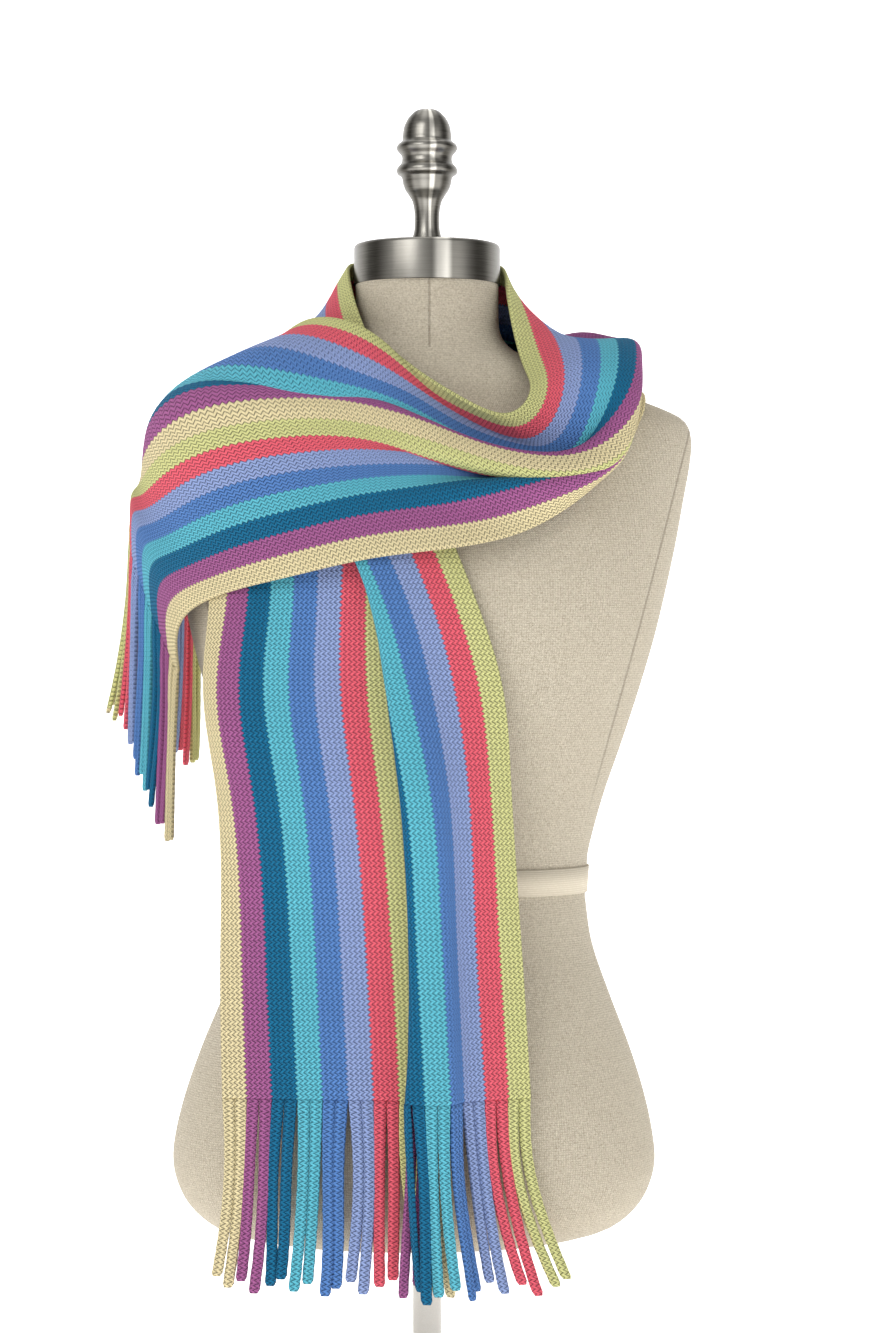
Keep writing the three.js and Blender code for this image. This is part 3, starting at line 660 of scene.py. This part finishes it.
# Fringes
# Knitted strands, two to a stripe, that go on from the scarf's two ends. Those at the fold down the
# tail lean to the right behind the layer in front, or to the left out of it.
STRAND_WIDTH = 9.6
STRAND_THICK = 4.6
STRAND_LENGTH = 138.0
STRAND_SIDES = 12
STRAND_CUTS = 47
STRAND_STITCH = 3.6
STRIP = 7
ROOT_SHARE = 0.15
FOLD_LEAN = {14: 13, 15: 13, 16: 9, 17: 9, 18: -7, 19: -6, 20: 9, 21: 7}


def spread(i):
    """A number from -1 to 1 that differs from each strand to the next."""
    return 2 * ((i * 0.618) % 1) - 1


def fade(value):
    """0 below 0, 1 above 1 and smooth between them."""
    value = min(max(value, 0), 1)
    return value * value * (3 - 2 * value)


def front_lean(x, i):
    """How far a strand's tip leans from under its root, which stands at x."""
    side = 30 * fade((x + 20) / 95) if x > -20 else -9 * fade((-20 - x) / 90)
    return np.array([side + FOLD_LEAN.get(i, 0), 2 * spread(i + 7), 0])


def back_lean(x, i):
    """The same at the other end, where only the strand's number counts."""
    return np.array([-4 - 14 * fade(1 - abs(i - 16) / 5), 1.5 * spread(i + 3), 0])


def fringe(name, edge, inner, lean_at, material):
    """Strands that hang from the scarf's end, from a line just inside its edge."""
    bm = bmesh.new()
    root_line = np.array([edge + (inner - edge) * ROOT_SHARE])
    roots = section(root_line, np.linspace(0, STRIPES, 4 * STRIPES + 1))[0]
    for i in range(2 * STRIPES):
        root = roots[2 * i + 1] - (0, 0, 1)
        across = (roots[2 * i + 2] - roots[2 * i]) * (1, 1, 0)
        room = np.linalg.norm(across)
        across = across / room
        deep = np.array([-across[1], across[0], 0])
        sway = lean_at(root[0], i)
        size = STRAND_LENGTH * (1 + 0.05 * spread(i))
        width = min(STRAND_WIDTH, room)
        cling = (1 - 2 * (i % 2)) * (0.6 + 0.9 * spread(i // 2 + 4))
        tube = bmesh.new()
        strand_map = tube.loops.layers.uv.new("knit")
        bmesh.ops.create_cone(tube, cap_ends=True, segments=STRAND_SIDES, radius1=1, radius2=1, depth=2)
        bmesh.ops.subdivide_edges(tube, edges=upright_edges(tube), cuts=STRAND_CUTS)
        for vert in tube.verts:
            t = (1 - vert.co.z) / 2
            turn = math.atan2(vert.co.y, vert.co.x)
            c, s = math.cos(turn), math.sin(turn)
            plump = 1 - 0.3 * max(0, t - 0.98) / 0.02
            flat = 0.6 + 0.4 * fade(t / 0.14)
            beat = t * size / STRAND_STITCH * 2 * math.pi + (math.pi if c < 0 else 0)
            plump *= (1 - 0.1 * fade(t / 0.4)) * (1 + 0.03 * math.cos(beat))
            bends = 1.4 + 0.7 * spread(i // 2 + 2)
            bow = math.sin(t * math.pi * bends) * 2.6 * spread(i // 2 + 11)
            bow += math.sin(t * math.pi) * 1.2 * spread(i + 11) + cling * t
            p = root + sway * t * t - np.array([0, 0, size * t]) + across * bow
            side = math.copysign(abs(c) ** 0.6, c) * width / 2 * plump
            front = math.copysign(abs(s) ** 0.7, s) * STRAND_THICK / 2 * plump * flat
            vert.co = (p + across * side + deep * front) / 1000
            for loop in vert.link_loops:
                loop[strand_map].uv = ((i + 0.5 + 0.46 * c) / (2 * STRIPES), t * size / LENGTH)
        strand = to_mesh(tube, "strand")
        bm.from_mesh(strand)
        bpy.data.meshes.remove(strand)
    bmesh.ops.recalc_face_normals(bm, faces=bm.faces)
    return add_piece(name, to_mesh(bm, name), material)


strand_knit = knit("strand_knit", STRAND_STITCH, 0.0)
front_fringe = fringe("fringe_front_knit", 0, STRIP, front_lean, strand_knit)
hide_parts("fringe_front")
back_fringe = fringe("fringe_back_knit", LENGTH, LENGTH - STRIP, back_lean, strand_knit)
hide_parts("fringe_back")

# Studio
# A white floor that bends up into a wall behind the form, far enough back for a camera behind the
# form to stand in front of it, and large soft lamps.
SWEEP_HALF = 12
SWEEP_FRONT = -12
SWEEP_BACK = 3.4
SWEEP_BEND = 0.8
SWEEP_STEPS = 12
SWEEP_TOP = 9


def drawn_up(bm, edges, y, z):
    """Extrudes a line of edges to a new place, and returns the new line."""
    grown = bmesh.ops.extrude_edge_only(bm, edges=edges)["geom"]
    for vert in (part for part in grown if isinstance(part, bmesh.types.BMVert)):
        vert.co.y = y
        vert.co.z = z
    return [part for part in grown if isinstance(part, bmesh.types.BMEdge)
            and all(vert in grown for vert in part.verts)]


bm = bmesh.new()
bmesh.ops.create_grid(bm, x_segments=1, y_segments=1, size=1)
for vert in bm.verts:
    vert.co = (vert.co.x * SWEEP_HALF, SWEEP_BACK if vert.co.y > 0 else SWEEP_FRONT, 0)
rise = [e for e in bm.edges if all(v.co.y > 0 for v in e.verts)]
for turn in range(1, SWEEP_STEPS + 1):
    angle = math.pi / 2 * turn / SWEEP_STEPS
    rise = drawn_up(bm, rise, SWEEP_BACK + SWEEP_BEND * math.sin(angle),
                    SWEEP_BEND - SWEEP_BEND * math.cos(angle))
drawn_up(bm, rise, SWEEP_BACK + SWEEP_BEND, SWEEP_TOP)
paint = Paint("sweep", 1.0)
paint.shader.inputs["Emission Color"].default_value = (1, 1, 1, 1)
paint.shader.inputs["Emission Strength"].default_value = 0.85
sweep_mesh = to_mesh(bm, "sweep")
sweep = bpy.data.objects.new("sweep", sweep_mesh)
sweep_mesh.materials.append(paint.finish((0.9, 0.9, 0.9, 1)))
for face in sweep_mesh.polygons:
    face.use_smooth = True
bpy.context.collection.objects.link(sweep)

LAMPS = [
    # name, place, aim, size, power
    ("key", (-1.6, -2.2, 2.2), (0, 0, 0.7), 1.6, 29),
    ("fill", (2.0, -2.2, 1.3), (0, 0, 0.6), 1.8, 11.5),
    ("top", (0, 0.2, 2.6), (0, 0, 0.7), 1.6, 6),
]
for name, spot, aim, size, power in LAMPS:
    light = bpy.data.lights.new(name, "AREA")
    light.size = size
    light.energy = power
    lamp = bpy.data.objects.new(name, light)
    lamp.location = spot
    away = [a - b for a, b in zip(spot, aim)]
    flat = math.hypot(away[0], away[1])
    lamp.rotation_euler = (math.atan2(flat, away[2]), 0, math.atan2(away[0], -away[1]))
    bpy.context.collection.objects.link(lamp)
world = bpy.data.worlds.new("studio")
bpy.context.scene.world = world
world.use_nodes = True
world.node_tree.nodes["Background"].inputs["Color"].default_value = (1, 1, 1, 1)
world.node_tree.nodes["Background"].inputs["Strength"].default_value = 0.4
bpy.context.scene.view_settings.view_transform = "Standard"
